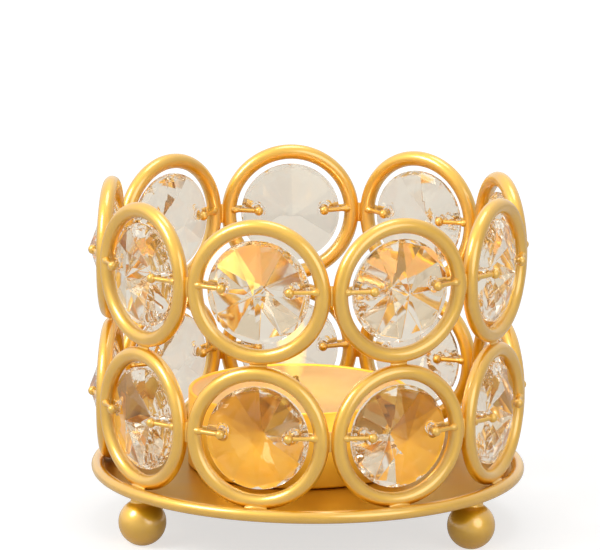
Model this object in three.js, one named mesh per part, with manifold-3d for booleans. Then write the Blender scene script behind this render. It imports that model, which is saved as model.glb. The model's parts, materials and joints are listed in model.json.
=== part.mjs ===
// A crystal tealight holder: two tiers of wire rings brazed into a drum on a round base with ball feet.
// A clear cut crystal hangs on two hooks in every ring, and a tealight stands inside the drum.
// Millimetres, +Z up, front towards -Y. The origin is on the drum's axis, on the floor.

import * as THREE from 'three';
import { ConvexGeometry } from 'three/addons/geometries/ConvexGeometry.js';
import { mergeVertices } from 'three/addons/utils/BufferGeometryUtils.js';
import Module from 'manifold-3d';

const wasm = await Module();
wasm.setup();

// Rings
const RINGS_PER_TIER = 9;
const TIERS = ['lower', 'upper'];
const FIRST_RING_ANGLE = -53.8; // degrees from the front, positive towards +X
const RING_BORE = 19.3;
const RING_WIRE = 2.6;
const BRAZE_GAP = 0.3; // left between pieces that are brazed to each other

// Crystals
const CRYSTAL_CLEARANCE = 0.9; // between a crystal's edge and its ring
const CRYSTAL_FACETS = 12;
const CRYSTAL_THICKNESS = 7.4; // from point to point
const CRYSTAL_SHOULDER = 1.6; // thickness where the facets end
const CRYSTAL_GIRDLE = 0.6; // thickness at the edge
const CRYSTAL_BAND = 0.75; // width of the plain band around the facets
const HOLE_DIAMETER = 1.8;
const HOLE_TO_EDGE = 2.9; // from a hole's centre to the crystal's edge
const HOLE_RISE = 0.7; // holes above the crystal's middle, so that it hangs upright

// Hooks that hold a crystal in its ring
const HOOK_WIRE = 0.8;
const HOOK_BALL = 1.4;
const HOOK_CLEARANCE = 0.3; // between a hook's legs and the crystal
const HOOK_SEAT = 0.72; // depth of a leg's end off the ring wire's middle
const LEG_SLANT = 1.1; // how much thicker a slanting leg is when measured square to the crystal

// Base
const RIM_WIRE = 2.2;
const RIM_OUTSET = 2; // rim wire's middle outside the rings' middle
const PLATE_THICKNESS = 1;
const FOOT_COUNT = 3;
const FOOT_NAMES = ['foot_front_left', 'foot_front_right', 'foot_back'];
const FIRST_FOOT_ANGLE = -60; // degrees from the front, positive towards +X
const FOOT_INSET = 4; // foot's middle inside the rim wire's middle
const FOOT_BALL = 8.2;
const FOOT_FLAT = 2.4; // diameter of the flat that a foot stands on
const FOOT_NECK = 4; // diameter of a foot's neck under the plate
const FOOT_HEIGHT = 9.2; // from the floor to the top of the neck

// Tealight
const TEALIGHT_DIAMETER = 38;
const TEALIGHT_HEIGHT = 13;
const TEALIGHT_OFFSET = -1.7; // along X, as it happens to stand
const CUP_WALL = 0.5;
const CUP_HEEL = 1; // bevel around the cup's foot
const FIT_GAP = 0.3; // between loosely fitted pieces
const WAX_RECESS = 0.5; // wax below the cup's edge
const WICK_DIAMETER = 1.4;
const WICK_ABOVE_WAX = 2.6;
const TAB_DIAMETER = 12;
const TAB_THICKNESS = 0.5;
const TAB_NECK_DIAMETER = 3.2;
const TAB_NECK_HEIGHT = 3;

// Sides and steps of the round shapes, and the distance at which a seam's points are one
const RING_STEPS = 24;
const RING_SIDES = 8;
const HOOK_SIDES = 5;
const HOLE_SIDES = 8;
const RIM_STEPS = 40;
const RIM_SIDES = 8;
const PLATE_STEPS = 40;
const FOOT_STEPS = 16;
const FOOT_ARC_STEPS = 7;
const TEALIGHT_STEPS = 28;
const WICK_SIDES = 8;
const TAB_STEPS = 16;
const SEAM = 1e-4;

// Worked out from the sizes above
const ringRadius = (RING_BORE + RING_WIRE) / 2;
const ringHeight = RING_BORE + 2 * RING_WIRE;
const ringPitch = (2 * Math.PI) / RINGS_PER_TIER;
const halfPitch = ringPitch / 2;
const halfSide = ringRadius + (RING_WIRE + BRAZE_GAP) / 2 / Math.cos(halfPitch);
const drumRadius = halfSide / Math.tan(halfPitch);
const rimRadius = drumRadius + RIM_OUTSET;
const plateRadius = rimRadius - RIM_WIRE / 2 - BRAZE_GAP;
const plateBottom = FOOT_HEIGHT + BRAZE_GAP;
const plateTop = plateBottom + PLATE_THICKNESS;
const ringsBottom = plateTop + BRAZE_GAP;
const wireSpacing = (RING_WIRE + RIM_WIRE) / 2 + BRAZE_GAP;
const rimHeight = ringsBottom + RING_WIRE / 2 - Math.sqrt(wireSpacing ** 2 - RIM_OUTSET ** 2);
const crystalRadius = RING_BORE / 2 - CRYSTAL_CLEARANCE;
const facetRadius = crystalRadius - CRYSTAL_BAND;
const holeReach = crystalRadius - HOLE_TO_EDGE;

// A geometry with its seams merged and its collapsed triangles dropped, as a solid to join and cut
function toSolid(geometry) {
  const bare = new THREE.BufferGeometry();
  bare.setAttribute('position', geometry.getAttribute('position'));
  bare.setIndex(geometry.getIndex());
  const merged = mergeVertices(bare, SEAM);
  const corners = merged.getIndex().array;
  const triangles = [];
  for (let i = 0; i < corners.length; i += 3) {
    const [a, b, c] = corners.slice(i, i + 3);
    if (a !== b && b !== c && c !== a) triangles.push(a, b, c);
  }
  return new wasm.Manifold(new wasm.Mesh({
    numProp: 3,
    vertProperties: Float32Array.from(merged.getAttribute('position').array),
    triVerts: Uint32Array.from(triangles),
  }));
}

function toGeometry(solid) {
  const { vertProperties, triVerts } = solid.getMesh();
  const geometry = new THREE.BufferGeometry();
  geometry.setAttribute('position', new THREE.BufferAttribute(vertProperties, 3));
  geometry.setIndex(new THREE.BufferAttribute(triVerts, 1));
  geometry.computeVertexNormals();
  return geometry;
}

// A profile of [radius, height] points turned about the Z axis
function turned(profile, steps) {
  const points = profile.map(([radius, height]) => new THREE.Vector2(radius, height));
  return toGeometry(toSolid(new THREE.LatheGeometry(points, steps).rotateX(Math.PI / 2)));
}

// The closed profile of a round wire whose middle lies at the given radius and height
function wireProfile(radius, height, diameter, sides) {
  return Array.from({ length: sides + 1 }, (_, i) => {
    const turn = ((i % sides) / sides) * 2 * Math.PI;
    return [radius + (diameter / 2) * Math.cos(turn), height + (diameter / 2) * Math.sin(turn)];
  });
}

// A straight round bar between two points
function bar(from, to, diameter, sides) {
  const outline = new THREE.Shape();
  outline.absarc(0, 0, diameter / 2, 0, 2 * Math.PI);
  const section = new THREE.Shape(outline.getPoints(sides).slice(0, sides));
  const extrudePath = new THREE.LineCurve3(from, to);
  return toSolid(new THREE.ExtrudeGeometry(section, { steps: 1, extrudePath }));
}

// Half the crystal's thickness at a distance from its middle, along a facet's edge
function halfThickness(distance) {
  const point = CRYSTAL_THICKNESS / 2;
  const shoulder = CRYSTAL_SHOULDER / 2;
  if (distance < facetRadius) return point + ((shoulder - point) * distance) / facetRadius;
  return shoulder + ((CRYSTAL_GIRDLE / 2 - shoulder) * (distance - facetRadius)) / CRYSTAL_BAND;
}

// How far in front of the crystal's middle a straight leg starts at the hole, so that it clears the
// crystal at the hole, at the shoulder and at the edge on its way to the ring
function legStandoff(ringEnd) {
  const legWidth = (LEG_SLANT * HOOK_WIRE) / 2;
  const standoffs = [holeReach, facetRadius, crystalRadius].map((reach) => {
    const share = (reach - holeReach) / (ringEnd.x - holeReach);
    const needed = halfThickness(reach) + HOOK_CLEARANCE + legWidth;
    return (needed + share * ringEnd.y) / (1 - share);
  });
  return Math.max(...standoffs);
}

// One hook, on the ring's left (side -1) or right (side 1): a front leg from the ring to the hole, a pin
// through the hole with a ball at its inner end, and a back leg to the ring again
function hook(side) {
  const ringEnd = new THREE.Vector3();
  ringEnd.x = Math.sqrt(ringRadius ** 2 - HOLE_RISE ** 2);
  ringEnd.y = -HOOK_SEAT;
  ringEnd.z = HOLE_RISE;
  const holeEnd = new THREE.Vector3(holeReach, -legStandoff(ringEnd), HOLE_RISE);
  for (const point of [ringEnd, holeEnd]) point.x *= side;
  const flip = new THREE.Vector3(1, -1, 1);
  const frontTip = holeEnd.clone().add(new THREE.Vector3(0, -HOOK_WIRE / 2, 0));
  const innerEnd = holeEnd.clone().multiply(flip);
  const ball = new THREE.IcosahedronGeometry(HOOK_BALL / 2, 0);
  ball.translate(innerEnd.x, innerEnd.y, innerEnd.z);
  return bar(ringEnd, holeEnd, HOOK_WIRE, HOOK_SIDES)
    .add(bar(frontTip, innerEnd, HOOK_WIRE, HOOK_SIDES))
    .add(bar(innerEnd, ringEnd.clone().multiply(flip), HOOK_WIRE, HOOK_SIDES))
    .add(toSolid(ball));
}

// A ring about the Y axis with its two hooks, which are brazed inside it
function ringGeometry() {
  const points = wireProfile(ringRadius, 0, RING_WIRE, RING_SIDES).map((p) => new THREE.Vector2(...p));
  const wire = toSolid(new THREE.LatheGeometry(points, RING_STEPS));
  return toGeometry(wire.add(hook(-1)).add(hook(1)));
}

// A crystal about the Y axis: facets that meet in a point on both sides, a plain band, and two holes
function crystalGeometry() {
  const points = [];
  for (const side of [-1, 1]) {
    points.push(new THREE.Vector3(0, (side * CRYSTAL_THICKNESS) / 2, 0));
    for (let i = 0; i < 2 * CRYSTAL_FACETS; i += 1) {
      const turn = (i * Math.PI) / CRYSTAL_FACETS;
      const outward = new THREE.Vector3(Math.cos(turn), 0, Math.sin(turn));
      const edge = outward.clone().multiplyScalar(crystalRadius);
      points.push(edge.setY((side * CRYSTAL_GIRDLE) / 2));
      if (i % 2 === 0) {
        const shoulder = outward.clone().multiplyScalar(facetRadius);
        points.push(shoulder.setY((side * CRYSTAL_SHOULDER) / 2));
      }
    }
  }
  const drillRadius = HOLE_DIAMETER / 2;
  let solid = toSolid(new ConvexGeometry(points));
  for (const side of [-1, 1]) {
    const drill = new THREE.CylinderGeometry(drillRadius, drillRadius, CRYSTAL_THICKNESS, HOLE_SIDES);
    drill.translate(side * holeReach, 0, HOLE_RISE);
    solid = solid.subtract(toSolid(drill));
  }
  return toGeometry(solid);
}

// A ball foot with a flat below and a neck above that leaves the ball along a tangent
function footGeometry() {
  const radius = FOOT_BALL / 2;
  const middle = Math.sqrt(radius ** 2 - (FOOT_FLAT / 2) ** 2);
  const neck = new THREE.Vector2(FOOT_NECK / 2, FOOT_HEIGHT - middle);
  const start = -Math.acos(FOOT_FLAT / FOOT_BALL);
  const end = neck.angle() - Math.acos(radius / neck.length());
  const profile = [[0, 0]];
  for (let i = 0; i <= FOOT_ARC_STEPS; i += 1) {
    const turn = start + ((end - start) * i) / FOOT_ARC_STEPS;
    profile.push([radius * Math.cos(turn), middle + radius * Math.sin(turn)]);
  }
  profile.push([FOOT_NECK / 2, FOOT_HEIGHT], [0, FOOT_HEIGHT]);
  return turned(profile, FOOT_STEPS);
}

function plateGeometry() {
  const profile = [[0, plateBottom], [plateRadius, plateBottom], [plateRadius, plateTop], [0, plateTop]];
  return turned(profile, PLATE_STEPS);
}

function rimGeometry() {
  return turned(wireProfile(rimRadius, rimHeight, RIM_WIRE, RIM_SIDES), RIM_STEPS);
}

// The tealight's pieces, from the underside of its cup
const cupInside = TEALIGHT_DIAMETER / 2 - CUP_WALL;
const tabBottom = CUP_WALL + FIT_GAP;
const tabTop = tabBottom + TAB_THICKNESS;
const tabNeckTop = tabTop + TAB_NECK_HEIGHT;
const wickHole = WICK_DIAMETER / 2 + FIT_GAP;
const waxTop = TEALIGHT_HEIGHT - WAX_RECESS;

function cupGeometry() {
  const outside = TEALIGHT_DIAMETER / 2;
  return turned([
    [0, 0],
    [outside - CUP_HEEL, 0],
    [outside, CUP_HEEL],
    [outside, TEALIGHT_HEIGHT],
    [cupInside, TEALIGHT_HEIGHT],
    [cupInside, CUP_HEEL + CUP_WALL],
    [cupInside - CUP_HEEL, CUP_WALL],
    [0, CUP_WALL],
  ], TEALIGHT_STEPS);
}

function waxGeometry() {
  const outside = cupInside - FIT_GAP;
  const tabRoom = TAB_DIAMETER / 2 + FIT_GAP;
  const neckRoom = TAB_NECK_DIAMETER / 2 + FIT_GAP;
  return turned([
    [tabRoom, tabBottom],
    [outside - CUP_HEEL, tabBottom],
    [outside, tabBottom + CUP_HEEL],
    [outside, waxTop],
    [wickHole, waxTop],
    [wickHole, tabNeckTop + FIT_GAP],
    [neckRoom, tabNeckTop + FIT_GAP],
    [neckRoom, tabTop + FIT_GAP],
    [tabRoom, tabTop + FIT_GAP],
    [tabRoom, tabBottom],
  ], TEALIGHT_STEPS);
}

function tabGeometry() {
  return turned([
    [wickHole, tabBottom],
    [TAB_DIAMETER / 2, tabBottom],
    [TAB_DIAMETER / 2, tabTop],
    [TAB_NECK_DIAMETER / 2, tabTop],
    [TAB_NECK_DIAMETER / 2, tabNeckTop],
    [wickHole, tabNeckTop],
    [wickHole, tabBottom],
  ], TAB_STEPS);
}

function wickGeometry() {
  const top = waxTop + WICK_ABOVE_WAX;
  const radius = WICK_DIAMETER / 2;
  return turned([[0, tabBottom], [radius, tabBottom], [radius, top], [0, top]], WICK_SIDES);
}

// Materials
const satinGold = { color: 0xd9b05c, roughness: 0.34, metalness: 1 };
const clearCrystal = { color: 0xf4eee4, roughness: 0.03, metalness: 0, transparent: true, opacity: 0.4 };
const goldFoil = { color: 0xc9963f, roughness: 0.4, metalness: 1 };
const creamWax = { color: 0xf7d9a4, roughness: 0.55, metalness: 0 };
const charredCotton = { color: 0x3a2a1c, roughness: 0.95, metalness: 0 };
const tinPlate = { color: 0xb9b6ae, roughness: 0.45, metalness: 1 };

function piece(name, geometry, look) {
  const mesh = new THREE.Mesh(geometry, new THREE.MeshStandardMaterial(look));
  mesh.name = name;
  return mesh;
}

// A group that faces outwards from the drum's axis at an angle from the front
function facing(degrees) {
  const group = new THREE.Group();
  group.rotation.z = THREE.MathUtils.degToRad(degrees);
  return group;
}

const holder = new THREE.Group();
holder.add(piece('base_plate', plateGeometry(), satinGold));
holder.add(piece('base_rim', rimGeometry(), satinGold));

const foot = footGeometry();
for (let i = 0; i < FOOT_COUNT; i += 1) {
  const group = facing(FIRST_FOOT_ANGLE + (i * 360) / FOOT_COUNT);
  const mesh = piece(FOOT_NAMES[i], foot, satinGold);
  mesh.position.set(0, FOOT_INSET - rimRadius, 0);
  group.add(mesh);
  holder.add(group);
}

const ring = ringGeometry();
const crystal = crystalGeometry();
TIERS.forEach((tier, level) => {
  const height = ringsBottom + ringHeight / 2 + level * (ringHeight + BRAZE_GAP);
  for (let i = 0; i < RINGS_PER_TIER; i += 1) {
    const group = facing(FIRST_RING_ANGLE + (i * 360) / RINGS_PER_TIER);
    const meshes = [
      piece(`ring_${tier}_${i + 1}`, ring, satinGold),
      piece(`crystal_${tier}_${i + 1}`, crystal, clearCrystal),
    ];
    for (const mesh of meshes) {
      mesh.position.set(0, -drumRadius, height);
      group.add(mesh);
    }
    holder.add(group);
  }
});

const tealight = new THREE.Group();
tealight.position.set(TEALIGHT_OFFSET, 0, plateTop + FIT_GAP);
tealight.add(piece('tealight_cup', cupGeometry(), goldFoil));
tealight.add(piece('tealight_wax', waxGeometry(), creamWax));
tealight.add(piece('tealight_wick', wickGeometry(), charredCotton));
tealight.add(piece('wick_tab', tabGeometry(), tinPlate));
holder.add(tealight);

export default holder;
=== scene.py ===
"""A crystal tealight holder: satin gold wire rings with cut crystals around a lit tealight, on white."""

import json
import math

import bmesh
import bpy
from mathutils import Matrix, Vector


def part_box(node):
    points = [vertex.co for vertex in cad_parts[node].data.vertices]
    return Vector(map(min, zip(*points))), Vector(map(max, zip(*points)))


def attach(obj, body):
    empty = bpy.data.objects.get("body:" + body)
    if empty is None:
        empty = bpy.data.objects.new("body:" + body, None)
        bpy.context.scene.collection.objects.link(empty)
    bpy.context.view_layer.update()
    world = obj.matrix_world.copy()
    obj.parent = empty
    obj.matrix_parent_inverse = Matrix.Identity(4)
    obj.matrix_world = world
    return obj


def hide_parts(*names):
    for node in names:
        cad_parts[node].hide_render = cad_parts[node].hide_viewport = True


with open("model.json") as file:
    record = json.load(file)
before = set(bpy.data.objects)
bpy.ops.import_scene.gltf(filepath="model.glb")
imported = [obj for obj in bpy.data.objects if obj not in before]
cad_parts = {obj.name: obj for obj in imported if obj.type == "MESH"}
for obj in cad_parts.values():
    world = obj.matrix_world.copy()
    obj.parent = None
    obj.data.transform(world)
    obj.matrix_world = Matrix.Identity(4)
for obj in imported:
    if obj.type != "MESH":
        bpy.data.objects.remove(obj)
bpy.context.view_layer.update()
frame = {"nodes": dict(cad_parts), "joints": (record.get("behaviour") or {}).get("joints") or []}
MM = 0.001
UP = Vector((0, 0, 1))
SHARP_ANGLE = math.radians(40)

# Rings and the braze between them
RING_BORE = 19.3 * MM
RING_WIRE = 2.6 * MM
RING_RADIUS = (RING_BORE + RING_WIRE) / 2
RING_STEPS = 112
RING_SIDES = 28
BRAZE_STEPS = 15
BRAZE_ARC_STEPS = 6
SIDE_BRAZE_REACH = 1.7 * MM
SIDE_BRAZE_DEPTH = 0.32 * MM
TIER_BRAZE_REACH = 1.5 * MM
TIER_BRAZE_DEPTH = 0.32 * MM
BASE_BRAZE_REACH = 1.9 * MM
BASE_BRAZE_DEPTH = 0.42 * MM
BRAZE_END_DEPTH = 0.06 * MM
WIDEST_FILLET = 50
FILLET_HALVINGS = 60

# Crystals
CRYSTAL_RADIUS = 8.75 * MM
CRYSTAL_FACETS = 12
CRYSTAL_EDGE_STEPS = 48
CRYSTAL_THICKNESS = 7.4 * MM
CRYSTAL_SHOULDER = 1.6 * MM
CRYSTAL_GIRDLE = 0.6 * MM
CRYSTAL_BAND = 0.75 * MM
CRYSTAL_CHAMFER = 0.05 * MM
CHAMFER_ANGLE = math.radians(4)
FLAT_ANGLE = math.radians(0.4)
PARALLEL = 0.99
HOLE_DIAMETER = 1.8 * MM
HOLE_TO_EDGE = 2.9 * MM
HOLE_REACH = CRYSTAL_RADIUS - HOLE_TO_EDGE
HOLE_RISE = 0.7 * MM
HOLE_SIDES = 40

# Polished dimples around the ends of the crystals' holes
DIMPLE_RADIUS = 1.4 * MM
DIMPLE_DEPTH = 0.45 * MM
DIMPLE_BALL = (DIMPLE_RADIUS ** 2 + DIMPLE_DEPTH ** 2) / (2 * DIMPLE_DEPTH)
DIMPLE_SPREAD = math.radians(60)
DIMPLE_STEPS = 48
DIMPLE_ARC_STEPS = 12
DIMPLE_SAG = 0.01 * MM
DIMPLE_SHARP = math.radians(12)

# Hooks that hold the crystals
HOOK_WIRE = 0.8 * MM
HOOK_BALL = 1.65 * MM
HOOK_BALL_OUT = 0.1 * MM
HOOK_BALL_STEPS = 20
HOOK_BALL_RINGS = 12
HOOK_SEAT = 0.72 * MM
HOOK_SEAT_INSET = 0.5 * MM
HOOK_BEND = 0.5 * MM
HOOK_BEND_STEPS = 7
HOOK_SIDES = 14
HOOK_STEP = 0.18 * MM
FLARE_RADIUS = 0.28 * MM
FLARE_LENGTH = 0.45 * MM

# Base
RIM_STEPS = 200
RIM_SIDES = 28
PLATE_STEPS = 200
PLATE_EDGE = 0.25 * MM
PLATE_EDGE_STEPS = 5
PLATE_SEAT = 0.45 * MM
FOOT_BALL = 8.2 * MM
FOOT_FLAT = 2.4 * MM
FOOT_NECK = 4.0 * MM
FOOT_FLARE = 2.8 * MM
FOOT_FLARE_POWER = 3
FOOT_FLARE_STEPS = 4
FOOT_FILLET = 0.5 * MM
FOOT_FILLET_STEPS = 6
FOOT_STEPS = 72
FOOT_ARC_STEPS = 36

# Tealight
TEALIGHT_STEPS = 144
CUP_WALL = 0.4 * MM
CUP_HEEL = 0.55 * MM
CUP_HEEL_STEPS = 8
CUP_INNER_HEEL_STEPS = 6
CUP_BEAD = 0.32 * MM
CUP_BEAD_STEPS = 10
CUP_STANDING = 0.03 * MM
# Painted glow on the cup for the flame's light: its strength at the edge and its colour
CUP_PAINTED_GLOW = 0.45
CUP_PAINTED_GLOW_COLOUR = (1.0, 0.52, 0.05, 1)
WAX_GAP = 0.05 * MM
WAX_MENISCUS = 0.35 * MM
WAX_MENISCUS_STEPS = 8
POOL_RADIUS = 13.0 * MM
POOL_DEPTH = 0.25 * MM
POOL_STEPS = 14
WICK_STRANDS = 3
WICK_STRAND = 0.34 * MM
WICK_TWIST = 0.36 * MM
WICK_TURNS = 2.6
WICK_LEAN = -0.5 * MM
WICK_LEAN_POWER = 3
WICK_TAPER = 0.5
WICK_TAPER_START = 0.85
WICK_STEPS = 60
WICK_SIDES = 12

# Flame, with its colours and opacities as stops from its foot to its tip
FLAME_HEIGHT = 23.0 * MM
FLAME_RADIUS = 3.0 * MM
FLAME_LEAN = -2.0 * MM
FLAME_LEAN_POWER = 0.8
FLAME_FOOT = 1.4 * MM
FLAME_BELLY_POWER = 0.7
FLAME_NARROWING = 0.35
FLAME_STEPS = 40
FLAME_LAYERS = 9
FLAME_CORE = 0.25
FLAME_CORE_HEIGHT = 0.6
FLAME_COLOURS = [(0.0, (0.95, 0.42, 0.06)), (0.3, (1.0, 0.7, 0.2)), (1.0, (1.0, 0.6, 0.1))]
FLAME_OPACITIES = [(0.0, 0.017), (0.35, 0.068), (0.7, 0.068), (1.0, 0.022)]
FLAME_GLOW = 2.4
FLAME_POWER = 0.006
FLAME_LIGHT_COLOUR = (1.0, 0.6, 0.22)
FLAME_LIGHT_HEIGHT = 0.45

# Range that most of a noise texture's values lie in
NOISE_LOW = 0.3
NOISE_HIGH = 0.7

# Clear lacquer on the metal
COAT_IOR = 2.2
COAT_ROUGHNESS = 0.18

# Camera, fitted to the outlines of the rings, rim, feet and tealight
CAMERA_DISTANCE = 900 * MM
CAMERA_YAW = math.radians(0.41)
CAMERA_PITCH = math.radians(12.08)
CAMERA_ROLL = math.radians(0.51)
CAMERA_AIM_RIGHT = -1.63 * MM
CAMERA_AIM_HEIGHT = 43.73 * MM
CAMERA_LENS = 314.4
CAMERA_NEAR = 10 * MM
CAMERA_FAR = 50.0

# Studio and floor
AMBIENT = 0.5
STUDIO_DIM = 0.3
STUDIO_DIM_END = -1.0
STUDIO_BRIGHT_END = 0.6
STUDIO_IN_GLASS = 0.84
BRIGHT_SIDE = (-0.55, 0.5, 0.67)
FLOOR_LIFT = 0.64
FLOOR_IN_GLASS = 0.38
FLOOR_IN_METAL = 0.18
FLOOR_SIZE = 4.0
FLOOR_NEAR = 0.25
FLOOR_FAR = 0.7
LIGHT_BOUNCES = 24

# Lamps, each with its place, size and power
LAMP_AIM = Vector((0, 0, 0.03))
LAMPS = {
    "key": (Vector((-0.62, -0.32, 0.62)), 0.42, 2.9),
    "fill": (Vector((0.5, -0.7, 0.35)), 0.7, 1.9),
    "top": (Vector((0.05, 0.1, 0.85)), 0.4, 1.2),
}


def grid_faces(rows, columns, closed_rows=False, closed_columns=True):
    """Quads over a grid of points stored row by row."""
    faces = []
    for i in range(rows if closed_rows else rows - 1):
        for j in range(columns if closed_columns else columns - 1):
            a = i * columns + j
            b = i * columns + (j + 1) % columns
            below = (i + 1) % rows * columns
            faces.append((a, b, below + (j + 1) % columns, below + j))
    return faces


def capped_loft(points, sections, count):
    """The faces of a closed loft through sections of a number of points each."""
    first = tuple(range(count))
    last = tuple(range(len(points) - count, len(points)))
    return grid_faces(sections, count) + [first, last]


def tube(path, radii, sides):
    """A closed round tube along a path, with a radius for each of its points."""
    points = []
    side = None
    for i, (point, radius) in enumerate(zip(path, radii)):
        ahead = (path[min(i + 1, len(path) - 1)] - path[max(i - 1, 0)]).normalized()
        if side is None:
            side = ahead.orthogonal()
        side = (side - ahead * side.dot(ahead)).normalized()
        other = ahead.cross(side)
        for j in range(sides):
            turn = 2 * math.pi * j / sides
            points.append(point + (side * math.cos(turn) + other * math.sin(turn)) * radius)
    return points, capped_loft(points, len(path), sides)


def torus(radius, wire, steps, sides, height=0.0):
    """A ring of round wire about the Z axis."""
    points = []
    for i in range(steps):
        around = 2 * math.pi * i / steps
        for j in range(sides):
            turn = 2 * math.pi * j / sides
            reach = radius + wire / 2 * math.cos(turn)
            rise = height + wire / 2 * math.sin(turn)
            points.append(Vector((reach * math.cos(around), reach * math.sin(around), rise)))
    return points, grid_faces(steps, sides, closed_rows=True)


def lathe(profile, steps):
    """A profile of (radius, height) points turned about the Z axis. It starts and ends on the axis."""
    inner = profile[1:-1]
    points = []
    for i in range(steps):
        turn = 2 * math.pi * i / steps
        points += [Vector((r * math.cos(turn), r * math.sin(turn), z)) for r, z in inner]
    faces = grid_faces(steps, len(inner), closed_rows=True, closed_columns=False)
    count = len(inner)
    for start, offset in ((profile[0], 0), (profile[-1], count - 1)):
        pole = len(points)
        points.append(Vector((0, 0, start[1])))
        for i in range(steps):
            faces.append((pole, i * count + offset, (i + 1) % steps * count + offset))
    return points, faces


def arc_points(centre, radius, start, end, steps):
    """(radius, height) points along an arc of a profile."""
    turns = [start + (end - start) * i / steps for i in range(steps + 1)]
    return [(centre[0] + radius * math.cos(t), centre[1] + radius * math.sin(t)) for t in turns]


def ball(centre, radius, steps, rings):
    """A smooth ball."""
    points, faces = lathe(arc_points((0, 0), radius, -math.pi / 2, math.pi / 2, rings), steps)
    return [point + centre for point in points], faces


def rounded_path(corners, bend, steps):
    """A bent wire's middle line: straight stretches with an arc at each inner corner."""
    path = [corners[0]]
    for before, corner, after in zip(corners, corners[1:], corners[2:]):
        into = (corner - before).normalized()
        out = (after - corner).normalized()
        turn = into.angle(out)
        start = corner - into * bend * math.tan(turn / 2)
        centre = start + (out - into * math.cos(turn)).normalized() * bend
        axis = into.cross(out).normalized()
        for i in range(steps + 1):
            path.append(centre + Matrix.Rotation(turn * i / steps, 3, axis) @ (start - centre))
    path.append(corners[-1])
    return path


def resampled(path, step):
    """The same path with points added so that no stretch is longer than a step."""
    dense = [path[0]]
    for a, b in zip(path, path[1:]):
        count = max(1, math.ceil((b - a).length / step))
        dense += [a.lerp(b, i / count) for i in range(1, count + 1)]
    return dense


def add_object(name, data):
    """A new object in the scene."""
    obj = bpy.data.objects.new(name, data)
    bpy.context.scene.collection.objects.link(obj)
    return obj


def build(name, shells, material, place=None):
    """One smooth mesh object from closed shells, placed in the shared frame through its vertices."""
    points = []
    faces = []
    for shell_points, shell_faces in shells:
        first = len(points)
        points += shell_points
        faces += [tuple(first + i for i in face) for face in shell_faces]
    mesh = bpy.data.meshes.new(name)
    mesh.from_pydata(points, [], faces)
    bm = bmesh.new()
    bm.from_mesh(mesh)
    bmesh.ops.recalc_face_normals(bm, faces=bm.faces)
    bm.to_mesh(mesh)
    bm.free()
    if place is not None:
        mesh.transform(place)
    mesh.set_sharp_from_angle(angle=SHARP_ANGLE)
    mesh.materials.append(material)
    return add_object(name, mesh)


def dress(obj, body, slot, *nodes):
    """The piece rides on a body and stands for CAD nodes; the slot is not used."""
    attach(obj, body)
    if nodes:
        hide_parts(*nodes)


def node_material(name):
    """A new node material with its node tree, its Principled shader and its object coordinates."""
    material = bpy.data.materials.new(name)
    material.use_nodes = True
    tree = material.node_tree
    shader = tree.nodes["Principled BSDF"]
    where = tree.nodes.new("ShaderNodeTexCoord").outputs["Object"]
    return material, tree, shader, where


def set_inputs(node, values):
    """Constants on a node's sockets, by the sockets' names."""
    for socket, value in values.items():
        node.inputs[socket].default_value = value


def noise(tree, where, scale, detail=3.0, roughness=0.55):
    """The value of a noise texture."""
    texture = tree.nodes.new("ShaderNodeTexNoise")
    set_inputs(texture, {"Scale": scale, "Detail": detail, "Roughness": roughness})
    tree.links.new(where, texture.inputs["Vector"])
    return texture.outputs["Fac"]


def map_range(tree, value, start, end, low=0.0, high=1.0):
    """A value between start and end, brought between low and high."""
    node = tree.nodes.new("ShaderNodeMapRange")
    set_inputs(node, {"From Min": start, "From Max": end, "To Min": low, "To Max": high})
    tree.links.new(value, node.inputs["Value"])
    return node.outputs["Result"]


def spread(tree, value, low, high):
    """A noise texture's value spread over a range."""
    return map_range(tree, value, NOISE_LOW, NOISE_HIGH, low, high)


def climb(tree, where, bottom, top, most=1.0):
    """A value that climbs from none at a bottom height to the most at a top height."""
    split = tree.nodes.new("ShaderNodeSeparateXYZ")
    tree.links.new(where, split.inputs["Vector"])
    return map_range(tree, split.outputs["Z"], bottom, top, high=most)


def ramp(tree, value, stops):
    """Colours along a value, as (position, (r, g, b)) stops."""
    node = tree.nodes.new("ShaderNodeValToRGB")
    while len(node.color_ramp.elements) < len(stops):
        node.color_ramp.elements.new(0.5)
    for element, (position, colour) in zip(node.color_ramp.elements, stops):
        element.position = position
        element.color = (*colour, 1)
    tree.links.new(value, node.inputs["Fac"])
    return node.outputs["Color"]


def bump(tree, shader, height, strength, distance):
    """Fine relief in a surface."""
    node = tree.nodes.new("ShaderNodeBump")
    set_inputs(node, {"Strength": strength, "Distance": distance})
    tree.links.new(height, node.inputs["Height"])
    tree.links.new(node.outputs["Normal"], shader.inputs["Normal"])


def metal(name, dark, pale, smoothest, roughest, grain, coat):
    """A satin metal: its colour drifts a little, and a fine grain breaks its gloss."""
    material, tree, shader, where = node_material(name)
    drift = noise(tree, where, scale=240.0)
    fine = noise(tree, where, scale=5200.0, detail=2.0)
    tree.links.new(ramp(tree, drift, [(NOISE_LOW, dark), (NOISE_HIGH, pale)]), shader.inputs["Base Color"])
    tree.links.new(spread(tree, drift, smoothest, roughest), shader.inputs["Roughness"])
    set_inputs(shader, {
        "Metallic": 1.0,
        "Coat Weight": coat,
        "Coat Roughness": COAT_ROUGHNESS,
        "Coat IOR": COAT_IOR,
    })
    bump(tree, shader, fine, strength=grain, distance=0.02 * MM)
    return material


def crystal_material():
    """Clear glass, tinted warm and with golden reflections: painted light for the warm glow and gold that the
    crystals show.
    """
    material, tree, shader, where = node_material("crystal_glass")
    set_inputs(shader, {
        # Painted light: the warm base colour and the golden specular tint stand in for the flame's light and
        # the gold seen through and in the crystal
        "Base Color": (0.925, 0.845, 0.715, 1),
        "Specular Tint": (1.0, 0.85, 0.55, 1),
        "Transmission Weight": 1.0,
        "IOR": 1.52,
    })
    polish = noise(tree, where, scale=900.0)
    tree.links.new(spread(tree, polish, low=0.02, high=0.05), shader.inputs["Roughness"])
    return material


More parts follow.
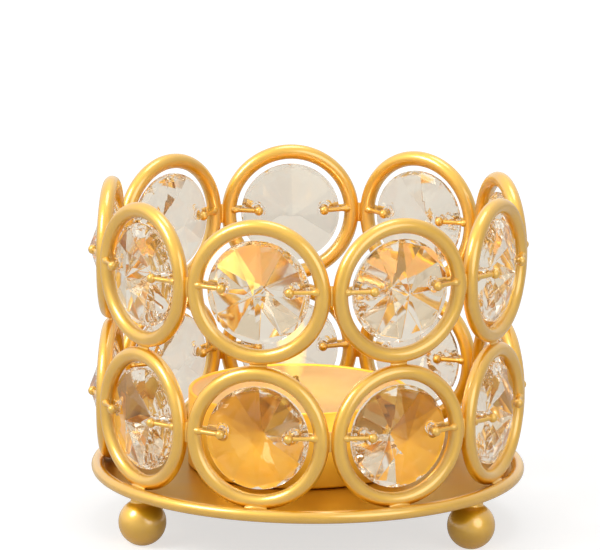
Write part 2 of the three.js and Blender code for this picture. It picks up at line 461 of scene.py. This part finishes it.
def wax_material():
    """Cloudy wax that glows where light soaks in."""
    material, tree, shader, where = node_material("tealight_wax")
    dark = (0.93, 0.57, 0.22)
    pale = (0.96, 0.63, 0.28)
    cloud = noise(tree, where, scale=180.0)
    tree.links.new(ramp(tree, cloud, [(NOISE_LOW, dark), (NOISE_HIGH, pale)]), shader.inputs["Base Color"])
    tree.links.new(spread(tree, cloud, low=0.5, high=0.65), shader.inputs["Roughness"])
    set_inputs(shader, {
        "Subsurface Weight": 0.5,
        "Subsurface Radius": (1.0, 0.6, 0.3),
        "Subsurface Scale": 2.0 * MM,
    })
    bump(tree, shader, noise(tree, where, scale=1200.0), strength=0.15, distance=0.05 * MM)
    return material


def paint_cup_glow(material, bottom, top):
    """Adds a painted glow: emission, strongest near the cup's edge, that stands in for the light of the flame
    and the wax showing through the thin cup.
    """
    tree = material.node_tree
    shader = tree.nodes["Principled BSDF"]
    where = tree.nodes.new("ShaderNodeTexCoord").outputs["Object"]
    set_inputs(shader, {"Emission Color": CUP_PAINTED_GLOW_COLOUR})
    tree.links.new(climb(tree, where, bottom, top, CUP_PAINTED_GLOW), shader.inputs["Emission Strength"])


def wick_material():
    """Charred cotton."""
    material, tree, shader, where = node_material("charred_cotton")
    fibre = noise(tree, where, scale=4000.0, detail=4.0)
    char = ramp(tree, fibre, [(0.35, (0.012, 0.009, 0.007)), (0.7, (0.10, 0.06, 0.03))])
    tree.links.new(char, shader.inputs["Base Color"])
    set_inputs(shader, {"Roughness": 0.95})
    bump(tree, shader, fibre, strength=0.6, distance=0.05 * MM)
    return material


def flame_material(bottom, top):
    """A thin layer of flame, clearest at its foot and its tip."""
    material, tree, shader, where = node_material("candle_flame")
    height = climb(tree, where, bottom, top)
    opacities = [(position, (opacity,) * 3) for position, opacity in FLAME_OPACITIES]
    set_inputs(shader, {
        "Base Color": (0, 0, 0, 1),
        "Specular IOR Level": 0.0,
        "Emission Strength": FLAME_GLOW,
    })
    tree.links.new(ramp(tree, height, FLAME_COLOURS), shader.inputs["Emission Color"])
    tree.links.new(ramp(tree, height, opacities), shader.inputs["Alpha"])
    return material


def math_node(tree, operation, a, b):
    """The result of an operation on two sockets or numbers."""
    node = tree.nodes.new("ShaderNodeMath")
    node.operation = operation
    for socket, value in zip(node.inputs, (a, b)):
        if isinstance(value, (int, float)):
            socket.default_value = value
        else:
            tree.links.new(value, socket)
    return node.outputs["Value"]


def seen(tree, plain, directly, in_glass, in_metal):
    """A strength for plain light, for what the camera sees, for what glass shows and for reflections."""
    path = tree.nodes.new("ShaderNodeLightPath")
    strength = plain
    rays = {"Is Glossy Ray": in_metal, "Is Transmission Ray": in_glass, "Is Camera Ray": directly}
    for ray, value in rays.items():
        gain = math_node(tree, "SUBTRACT", value, strength)
        strength = math_node(tree, "ADD", math_node(tree, "MULTIPLY", gain, path.outputs[ray]), strength)
    return strength


def make_world():
    """A white studio that the metal reflects as brighter on one side."""
    world = bpy.data.worlds.new("white_studio")
    world.use_nodes = True
    tree = world.node_tree
    background = tree.nodes["Background"]
    set_inputs(background, {"Color": (1, 1, 1, 1)})
    aim = tree.nodes.new("ShaderNodeVectorMath")
    aim.operation = "DOT_PRODUCT"
    aim.inputs[1].default_value = BRIGHT_SIDE
    tree.links.new(tree.nodes.new("ShaderNodeTexCoord").outputs["Generated"], aim.inputs[0])
    fade = map_range(tree, aim.outputs["Value"], STUDIO_DIM_END, STUDIO_BRIGHT_END, low=STUDIO_DIM)
    strength = seen(tree, AMBIENT, 1.0, STUDIO_IN_GLASS, fade)
    tree.links.new(strength, background.inputs["Strength"])
    bpy.context.scene.world = world


def make_floor():
    """A pale floor that the camera sees as white, fully so where the lights no longer reach it."""
    material, tree, shader, where = node_material("white_floor")
    shade = ramp(tree, noise(tree, where, scale=30.0), [(NOISE_LOW, (0.49,) * 3), (NOISE_HIGH, (0.51,) * 3)])
    tree.links.new(shade, shader.inputs["Base Color"])
    set_inputs(shader, {"Roughness": 0.8, "Specular IOR Level": 0.0, "Emission Color": (1, 1, 1, 1)})
    away = tree.nodes.new("ShaderNodeVectorMath")
    away.operation = "LENGTH"
    tree.links.new(where, away.inputs[0])
    whiten = map_range(tree, away.outputs["Value"], FLOOR_NEAR, FLOOR_FAR, low=FLOOR_LIFT)
    lift = seen(tree, 0.0, whiten, FLOOR_IN_GLASS, FLOOR_IN_METAL)
    tree.links.new(lift, shader.inputs["Emission Strength"])
    half = FLOOR_SIZE / 2
    corners = [Vector((x, y, 0)) for x, y in ((-half, -half), (half, -half), (half, half), (-half, half))]
    floor = build("floor", [(corners, [(0, 1, 2, 3)])], material)


def make_lamp(name, place, size, power):
    """A round lamp that shines on the part."""
    data = bpy.data.lights.new(name, "AREA")
    data.shape = "DISK"
    data.size = size
    data.energy = power
    lamp = add_object(name, data)
    lamp.location = place
    lamp.rotation_euler = (LAMP_AIM - place).to_track_quat("-Z", "Y").to_euler()


def make_camera():
    """The photo's camera."""
    back = Vector((
        math.sin(CAMERA_YAW) * math.cos(CAMERA_PITCH),
        -math.cos(CAMERA_YAW) * math.cos(CAMERA_PITCH),
        math.sin(CAMERA_PITCH),
    ))
    right = Matrix.Rotation(CAMERA_ROLL, 3, back) @ Vector((math.cos(CAMERA_YAW), math.sin(CAMERA_YAW), 0))
    aim = UP * CAMERA_AIM_HEIGHT + right * CAMERA_AIM_RIGHT
    turn = Matrix((right, back.cross(right), back)).transposed().to_4x4()
    data = bpy.data.cameras.new("camera")
    data.lens = CAMERA_LENS
    data.clip_start = CAMERA_NEAR
    data.clip_end = CAMERA_FAR
    camera = add_object("camera", data)
    camera.matrix_world = Matrix.Translation(aim + back * CAMERA_DISTANCE) @ turn
    bpy.context.scene.camera = camera


def ring_places():
    """Each ring's frame at its middle, from its crystal's hinge: X along the hinge, -Y outwards, Z up."""
    places = {}
    for joint in frame["joints"]:
        if joint["type"] != "hinge":
            continue
        along = Vector(joint["axis"]).normalized()
        turn = Matrix((along, UP.cross(along), UP)).transposed().to_4x4()
        middle = Vector(joint["pos_m"]) - UP * HOLE_RISE
        places[joint["name"].removeprefix("rock_")] = Matrix.Translation(middle) @ turn
    return places


def hook_standoff(node, place):
    """How far in front of the crystal's middle a hook's leg meets its pin, read from the CAD ring."""
    inside = place.inverted()
    front = min((inside @ v.co).y for v in frame["nodes"][node].data.vertices)
    return -front - HOOK_WIRE / 2


def hook(side, standoff):
    """A hook on one side of a ring: a bent wire through the crystal's hole with a bead at each bend."""
    seat = math.sqrt(RING_RADIUS ** 2 - HOLE_RISE ** 2) - HOOK_SEAT_INSET
    ring_end = Vector((side * seat, HOOK_SEAT, HOLE_RISE))
    hole_end = Vector((side * HOLE_REACH, standoff, HOLE_RISE))
    flip = Matrix.Diagonal((1, -1, 1))
    corners = [flip @ ring_end, flip @ hole_end, hole_end, ring_end]
    path = resampled(rounded_path(corners, HOOK_BEND, HOOK_BEND_STEPS), HOOK_STEP)
    radii = []
    for point in path:
        off = Vector((point.x, 0, point.z)).normalized() * RING_RADIUS
        depth = (point - off).length - RING_WIRE / 2
        radii.append(HOOK_WIRE / 2 + FLARE_RADIUS * math.exp(-((max(depth, 0) / FLARE_LENGTH) ** 2)))
    head = hole_end + Vector((0, HOOK_BALL_OUT, 0))
    beads = [ball(end, HOOK_BALL / 2, HOOK_BALL_STEPS, HOOK_BALL_RINGS) for end in (head, flip @ head)]
    return [tube(path, radii, HOOK_SIDES), *beads]


def crystal_blank():
    """A cut crystal about the Y axis, not yet drilled: facets to a point on both sides and a plain band."""
    bm = bmesh.new()
    for side in (-1, 1):
        bm.verts.new((0, side * CRYSTAL_THICKNESS / 2, 0))
        for radius, thickness, steps in (
            (CRYSTAL_RADIUS - CRYSTAL_BAND, CRYSTAL_SHOULDER, CRYSTAL_FACETS),
            (CRYSTAL_RADIUS, CRYSTAL_GIRDLE, CRYSTAL_EDGE_STEPS),
        ):
            for i in range(steps):
                turn = 2 * math.pi * i / steps
                bm.verts.new((radius * math.cos(turn), side * thickness / 2, radius * math.sin(turn)))
    bmesh.ops.convex_hull(bm, input=bm.verts)
    bmesh.ops.dissolve_limit(bm, angle_limit=FLAT_ANGLE, verts=bm.verts, edges=bm.edges)
    # Edges straight across the girdle stay as they are
    across = Vector((0, 1, 0))
    sharp = [
        edge for edge in bm.edges
        if edge.calc_face_angle(0) > CHAMFER_ANGLE
        and abs((edge.verts[0].co - edge.verts[1].co).normalized().dot(across)) < PARALLEL
    ]
    bmesh.ops.bevel(bm, geom=sharp, offset=CRYSTAL_CHAMFER, segments=1, affect="EDGES")
    bmesh.ops.recalc_face_normals(bm, faces=bm.faces)
    mesh = bpy.data.meshes.new("crystal_blank")
    bm.to_mesh(mesh)
    bm.free()
    return add_object("crystal_blank", mesh)


def drill_shells():
    """Cutters for a crystal's two holes."""
    for side in (-1, 1):
        ends = [Vector((side * HOLE_REACH, y * CRYSTAL_THICKNESS, HOLE_RISE)) for y in (-1, 1)]
        yield tube(ends, [HOLE_DIAMETER / 2] * 2, HOLE_SIDES)


def dimple_places():
    """The middle of the ball that each dimple is part of, turned square to the crystal's face."""
    off = Vector((HOLE_REACH, 0, HOLE_RISE)).length
    slope = (CRYSTAL_THICKNESS - CRYSTAL_SHOULDER) / 2 / (CRYSTAL_RADIUS - CRYSTAL_BAND)
    for side in (-1, 1):
        for face in (-1, 1):
            point = Vector((side * HOLE_REACH, face * (CRYSTAL_THICKNESS / 2 - slope * off), HOLE_RISE))
            normal = Vector((slope * point.x / off, face, slope * point.z / off)).normalized()
            turn = normal.to_track_quat("Z", "Y").to_matrix().to_4x4()
            yield Matrix.Translation(point + normal * (DIMPLE_BALL - DIMPLE_DEPTH)) @ turn


def dimple_shells(places):
    """Cutters shaped like lenses for the dimples."""
    arc = arc_points((0, 0), DIMPLE_BALL, -math.pi / 2, DIMPLE_SPREAD - math.pi / 2, DIMPLE_ARC_STEPS)
    points, faces = lathe(arc + [(0, arc[-1][1])], DIMPLE_STEPS)
    for place in places:
        yield [place @ point for point in points], faces


def in_dimple(corners, place):
    """Whether a face with these corners lies on a dimple's ball."""
    return all(abs((corner - place.translation).length - DIMPLE_BALL) < DIMPLE_SAG for corner in corners)


def cut_away(body, name, shells):
    """Takes closed shells away from an object with a modifier, and gives the cutter."""
    cutter = build(name, shells, None)
    cut = body.modifiers.new(name, "BOOLEAN")
    cut.object = cutter
    cut.operation = "DIFFERENCE"
    cut.solver = "EXACT"
    return cutter


def crystal_mesh():
    """A cut and drilled crystal, with flat facets and smooth dimples."""
    body = crystal_blank()
    dimples = list(dimple_places())
    cutters = [
        cut_away(body, "crystal_drill", drill_shells()),
        cut_away(body, "crystal_dimples", dimple_shells(dimples)),
    ]
    evaluated = body.evaluated_get(bpy.context.evaluated_depsgraph_get())
    mesh = bpy.data.meshes.new_from_object(evaluated)
    for scrap in (body, *cutters):
        bpy.data.objects.remove(scrap)
    mesh.set_sharp_from_angle(angle=DIMPLE_SHARP)
    for face in mesh.polygons:
        corners = [mesh.vertices[i].co for i in face.vertices]
        face.use_smooth = any(in_dimple(corners, place) for place in dimples)
    mesh.materials.clear()
    return mesh


def fillet_section(a, b, side, radius_a, radius_b, depth):
    """The outline of the braze between wires at a and b, hollow on both sides and as thick as its depth."""
    along = (b - a).normalized()
    apart = (b - a).length

    def centre(fillet):
        """The middle of a hollow of this radius, along and across the line between the wires."""
        x = (apart ** 2 + (radius_a + fillet) ** 2 - (radius_b + fillet) ** 2) / (2 * apart)
        return x, math.sqrt(max((radius_a + fillet) ** 2 - x * x, 0.0))

    low = max((apart - radius_a - radius_b) / 2, 0.0)
    high = WIDEST_FILLET * radius_a
    for _ in range(FILLET_HALVINGS):
        middle = (low + high) / 2
        if centre(middle)[1] - middle < depth:
            low = middle
        else:
            high = middle
    x, y = centre(high)
    start = math.atan2(-y, -x)
    end = math.atan2(-y, apart - x)
    flat = arc_points((x, y), high, start, end, BRAZE_ARC_STEPS)
    upper = [a + along * u + side * v for u, v in flat]
    lower = [a + along * u - side * v for u, v in reversed(flat)]
    return upper + lower


def braze(stations):
    """Braze lofted through stations of (a, b, side, radius_a, radius_b, depth)."""
    points = []
    for station in stations:
        points += fillet_section(*station)
    return points, capped_loft(points, len(stations), 2 * (BRAZE_ARC_STEPS + 1))


def braze_depths(reach, depth):
    """Places along a braze, from one end to the other, with its depth at each."""
    for i in range(BRAZE_STEPS):
        share = 2 * i / (BRAZE_STEPS - 1) - 1
        yield share * reach, BRAZE_END_DEPTH + (depth - BRAZE_END_DEPTH) * (1 - share * share)


def wire_drop(offset):
    """How far along its radius a ring's wire still reaches at an offset across it."""
    return math.sqrt(RING_RADIUS ** 2 - offset ** 2)


def side_braze(left, right):
    """Braze between two neighbouring rings of a tier."""
    stations = []
    for rise, depth in braze_depths(SIDE_BRAZE_REACH, SIDE_BRAZE_DEPTH):
        a = left @ Vector((wire_drop(rise), 0, rise))
        b = right @ Vector((-wire_drop(rise), 0, rise))
        side = (b - a).cross(UP).normalized()
        stations.append((a, b, side, RING_WIRE / 2, RING_WIRE / 2, depth))
    return braze(stations)


def tier_braze(lower, upper):
    """Braze between a ring and the ring that stands on it."""
    side = lower.to_3x3() @ Vector((0, 1, 0))
    stations = []
    for shift, depth in braze_depths(TIER_BRAZE_REACH, TIER_BRAZE_DEPTH):
        a = lower @ Vector((shift, 0, wire_drop(shift)))
        b = upper @ Vector((shift, 0, -wire_drop(shift)))
        stations.append((a, b, side, RING_WIRE / 2, RING_WIRE / 2, depth))
    return braze(stations)


def base_braze(place, rim):
    """Braze between a ring of the lower tier and the base rim."""
    drum_radius = Vector((place.translation.x, place.translation.y)).length
    along = place.to_3x3() @ Vector((1, 0, 0))
    stations = []
    for shift, depth in braze_depths(BASE_BRAZE_REACH, BASE_BRAZE_DEPTH):
        a = place @ Vector((shift, 0, -wire_drop(shift)))
        outward = math.sqrt(rim["radius"] ** 2 - shift ** 2) - drum_radius
        b = place @ Vector((shift, -outward, rim["height"] - place.translation.z))
        side = along.cross(b - a).normalized()
        stations.append((a, b, side, RING_WIRE / 2, rim["wire"] / 2, depth))
    return braze(stations)


def rim_sizes():
    """The rim wire's middle radius, height and diameter, from its CAD node."""
    low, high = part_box("base_rim")
    wire = high.z - low.z
    return {"radius": (high.x - low.x) / 2 - wire / 2, "height": (high.z + low.z) / 2, "wire": wire}


def make_rings(gold, places, rim):
    """The rings with their hooks, and the braze between them."""
    standoff = hook_standoff("ring_lower_1", places["lower_1"])
    upright = Matrix.Rotation(math.pi / 2, 4, "X")
    for name, place in places.items():
        node = "ring_" + name
        wire = torus(RING_RADIUS, RING_WIRE, RING_STEPS, RING_SIDES)
        dress(build("wire_" + name, [wire], gold, place @ upright), "holder", "satin_gold", node)
        hooks = hook(-1, standoff) + hook(1, standoff)
        dress(build("hooks_" + name, hooks, gold, place), "holder", "satin_gold", node)
    tiers = {tier: [p for n, p in places.items() if n.startswith(tier)] for tier in ("lower", "upper")}
    for tier, around in tiers.items():
        joints = [side_braze(a, b) for a, b in zip(around, around[1:] + around[:1])]
        dress(build("braze_" + tier, joints, gold), "holder", "satin_gold")
    between_tiers = [tier_braze(a, b) for a, b in zip(tiers["lower"], tiers["upper"])]
    dress(build("braze_tiers", between_tiers, gold), "holder", "satin_gold")
    on_base = [base_braze(place, rim) for place in tiers["lower"]]
    dress(build("braze_base", on_base, gold), "holder", "satin_gold")


def make_crystals(glass, places):
    """A crystal in each ring."""
    cut = crystal_mesh()
    for name, place in places.items():
        mesh = cut.copy()
        mesh.name = "gem_" + name
        mesh.transform(place)
        mesh.materials.append(glass)
        dress(add_object("gem_" + name, mesh), "crystal_" + name, "clear_crystal", "crystal_" + name)
    bpy.data.meshes.remove(cut)


def foot_profile(height, top):
    """A ball with a flat below and a short neck above, rounded into the ball and flared under the plate."""
    radius = FOOT_BALL / 2
    neck = FOOT_NECK / 2
    middle = math.sqrt(radius ** 2 - (FOOT_FLAT / 2) ** 2)
    hollow = neck + FOOT_FILLET
    rise = math.sqrt((radius + FOOT_FILLET) ** 2 - hollow ** 2)
    start = -math.acos(FOOT_FLAT / FOOT_BALL)
    end = math.atan2(rise, hollow)
    profile = [(0, 0)] + arc_points((0, middle), radius, start, end, FOOT_ARC_STEPS)
    profile += arc_points((hollow, middle + rise), FOOT_FILLET, math.pi + end, math.pi, FOOT_FILLET_STEPS)[1:]
    for i in range(1, FOOT_FLARE_STEPS + 1):
        share = i / FOOT_FLARE_STEPS
        flared = neck + (FOOT_FLARE - neck) * share ** FOOT_FLARE_POWER
        profile.append((flared, height + (top - height) * share))
    return profile + [(0, top)]


def make_base(gold, gold_with_painted_shade, rim):
    """The rim, the plate and the feet."""
    wire = torus(rim["radius"], rim["wire"], RIM_STEPS, RIM_SIDES, rim["height"])
    dress(build("rim_wire", [wire], gold), "holder", "satin_gold", "base_rim")
    low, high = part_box("base_plate")
    inset = rim["radius"] - rim["wire"] / 2 + PLATE_SEAT - PLATE_EDGE
    edge = arc_points((inset, low.z + PLATE_EDGE), PLATE_EDGE, -math.pi / 2, 0, PLATE_EDGE_STEPS)
    edge += arc_points((inset, high.z - PLATE_EDGE), PLATE_EDGE, 0, math.pi / 2, PLATE_EDGE_STEPS)
    profile = [(0, low.z), (inset / 2, low.z), *edge, (inset / 2, high.z), (0, high.z)]
    # The plate takes the darker gold, which is painted shade
    dress(build("plate", [lathe(profile, PLATE_STEPS)], gold_with_painted_shade), "holder", "satin_gold", "base_plate")
    for node in ("foot_front_left", "foot_front_right", "foot_back"):
        foot_low, foot_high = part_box(node)
        middle = (foot_low + foot_high) / 2
        place = Matrix.Translation((middle.x, middle.y, 0))
        shell = lathe(foot_profile(foot_high.z, low.z), FOOT_STEPS)
        dress(build("ball_" + node, [shell], gold, place), "holder", "satin_gold", node)


def cup_profile(radius, height):
    """A thin drawn cup with a round heel and a rolled edge."""
    inside = radius - CUP_WALL
    profile = [(0, 0)] + arc_points((radius - CUP_HEEL, CUP_HEEL), CUP_HEEL, -math.pi / 2, 0, CUP_HEEL_STEPS)
    bead = (radius - CUP_BEAD, height - CUP_BEAD)
    profile += arc_points(bead, CUP_BEAD, 0, math.pi, CUP_BEAD_STEPS)
    inner_heel = CUP_HEEL - CUP_WALL
    corner = (inside - inner_heel, CUP_WALL + inner_heel)
    profile += arc_points(corner, inner_heel, 0, -math.pi / 2, CUP_INNER_HEEL_STEPS)
    return profile + [(0, CUP_WALL)]


def wax_profile(radius, bottom, top):
    """Wax that climbs the cup's wall a little and has a shallow pool around the wick."""
    profile = [(0, bottom), (radius, bottom), (radius, top + WAX_MENISCUS)]
    for i in range(1, WAX_MENISCUS_STEPS + 1):
        share = i / WAX_MENISCUS_STEPS
        profile.append((radius - 2 * WAX_MENISCUS * share, top + WAX_MENISCUS * (1 - share) ** 2))
    for i in range(POOL_STEPS):
        share = 1 - i / POOL_STEPS
        profile.append((POOL_RADIUS * share, top - POOL_DEPTH * (1 + math.cos(math.pi * share)) / 2))
    return profile + [(0, top - POOL_DEPTH)]


def wick_shells(bottom, top):
    """A twisted wick that leans over and thins at its tip."""
    for strand in range(WICK_STRANDS):
        path = []
        radii = []
        for i in range(WICK_STEPS + 1):
            share = i / WICK_STEPS
            turn = 2 * math.pi * (WICK_TURNS * share + strand / WICK_STRANDS)
            twist = Vector((math.cos(turn), math.sin(turn), 0)) * WICK_TWIST
            lean = WICK_LEAN * share ** WICK_LEAN_POWER
            path.append(twist + Vector((lean, 0, bottom + (top - bottom) * share)))
            taper = WICK_TAPER * max(0, share - WICK_TAPER_START) / (1 - WICK_TAPER_START)
            radii.append(WICK_STRAND * (1 - taper))
        yield tube(path, radii, WICK_SIDES)


def flame_shell(bottom, layer):
    """One layer of the flame: a teardrop, widest a third of the way up, that leans as it rises."""
    profile = []
    height = FLAME_HEIGHT * (FLAME_CORE_HEIGHT + (1 - FLAME_CORE_HEIGHT) * layer)
    for i in range(FLAME_STEPS + 1):
        share = i / FLAME_STEPS
        width = math.sin(math.pi * share ** FLAME_BELLY_POWER) * (1 - FLAME_NARROWING * share)
        profile.append((FLAME_RADIUS * layer * max(width, 0), bottom + height * share))
    points, faces = lathe(profile, FLAME_STEPS)
    for point in points:
        point.x += FLAME_LEAN * ((point.z - bottom) / FLAME_HEIGHT) ** FLAME_LEAN_POWER
    return points, faces


def make_flame(foot):
    """The flame in layers, with a light in it."""
    place = Matrix.Translation((foot.x, foot.y, 0))
    layers = [FLAME_CORE + (1 - FLAME_CORE) * i / (FLAME_LAYERS - 1) for i in range(FLAME_LAYERS)]
    shells = [flame_shell(foot.z, layer) for layer in layers]
    flame = build("flame", shells, flame_material(foot.z, foot.z + FLAME_HEIGHT), place)
    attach(flame, "tealight")
    data = bpy.data.lights.new("flame_light", "POINT")
    data.energy = FLAME_POWER
    data.color = FLAME_LIGHT_COLOUR
    data.shadow_soft_size = FLAME_RADIUS
    lamp = add_object("flame_light", data)
    lamp.parent = flame
    lamp.location = foot + UP * FLAME_HEIGHT * FLAME_LIGHT_HEIGHT
    lamp.visible_transmission = False


def make_tealight(foil):
    """The cup right on the plate, with its wax, wick and flame."""
    low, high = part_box("tealight_cup")
    low.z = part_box("base_plate")[1].z + CUP_STANDING
    wax_low, wax_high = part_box("tealight_wax")
    wick_low, wick_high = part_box("tealight_wick")
    middle = (low + high) / 2
    place = Matrix.Translation((middle.x, middle.y, 0))
    stand = place @ Matrix.Translation((0, 0, low.z))
    radius = (high.x - low.x) / 2
    # The cup gets a painted glow for the flame's light
    paint_cup_glow(foil, low.z, high.z)
    cup = lathe(cup_profile(radius, high.z - low.z), TEALIGHT_STEPS)
    dress(build("foil_cup", [cup], foil, stand), "tealight", "gold_foil", "tealight_cup")
    wax_radius = radius - CUP_WALL - WAX_GAP
    wax = lathe(wax_profile(wax_radius, wax_low.z, wax_high.z), TEALIGHT_STEPS)
    dress(build("wax_fill", [wax], wax_material(), place), "tealight", "cream_wax", "tealight_wax")
    wick = wick_shells(wick_low.z, wick_high.z)
    dress(build("twisted_wick", wick, wick_material(), place), "tealight", "cotton_wick", "tealight_wick")
    make_flame(Vector((middle.x + WICK_LEAN, middle.y, wick_high.z - FLAME_FOOT)))


scene = bpy.context.scene
scene.view_settings.view_transform = "Standard"
scene.cycles.max_bounces = LIGHT_BOUNCES
scene.cycles.glossy_bounces = LIGHT_BOUNCES
scene.cycles.transmission_bounces = LIGHT_BOUNCES
scene.cycles.transparent_max_bounces = LIGHT_BOUNCES
make_camera()
make_world()
make_floor()
for lamp_name, (lamp_place, lamp_size, lamp_power) in LAMPS.items():
    make_lamp(lamp_name, lamp_place, lamp_size, lamp_power)

satin_gold = metal(
    "satin_gold", dark=(0.91, 0.505, 0.012), pale=(0.955, 0.56, 0.025),
    smoothest=0.48, roughest=0.56, grain=0.25, coat=1.0,
)
# The plate's gold is a darker copy of the satin gold: painted shade for the shadow that the rings, crystals
# and tealight cast on it
plate_gold_painted_shade = metal(
    "plate_gold_painted_shade", dark=(0.45, 0.257, 0.02), pale=(0.51, 0.3, 0.03),
    smoothest=0.34, roughest=0.42, grain=0.12, coat=0.04,
)
gold_foil = metal(
    "gold_foil", dark=(0.92, 0.54, 0.05), pale=(0.97, 0.59, 0.07),
    smoothest=0.4, roughest=0.5, grain=0.15, coat=0.15,
)
tin_plate = metal(
    "tin_plate", dark=(0.55, 0.54, 0.52), pale=(0.66, 0.65, 0.62),
    smoothest=0.3, roughest=0.45, grain=0.2, coat=0.0,
)
crystal_glass = crystal_material()

places_of_rings = ring_places()
rim_wire = rim_sizes()
make_rings(satin_gold, places_of_rings, rim_wire)
make_crystals(crystal_glass, places_of_rings)
make_base(satin_gold, plate_gold_painted_shade, rim_wire)
make_tealight(gold_foil)

# The wick's tab, hidden under the wax, keeps its CAD shape
frame["nodes"]["wick_tab"].material_slots[0].material = tin_plate

bpy.context.view_layer.update()
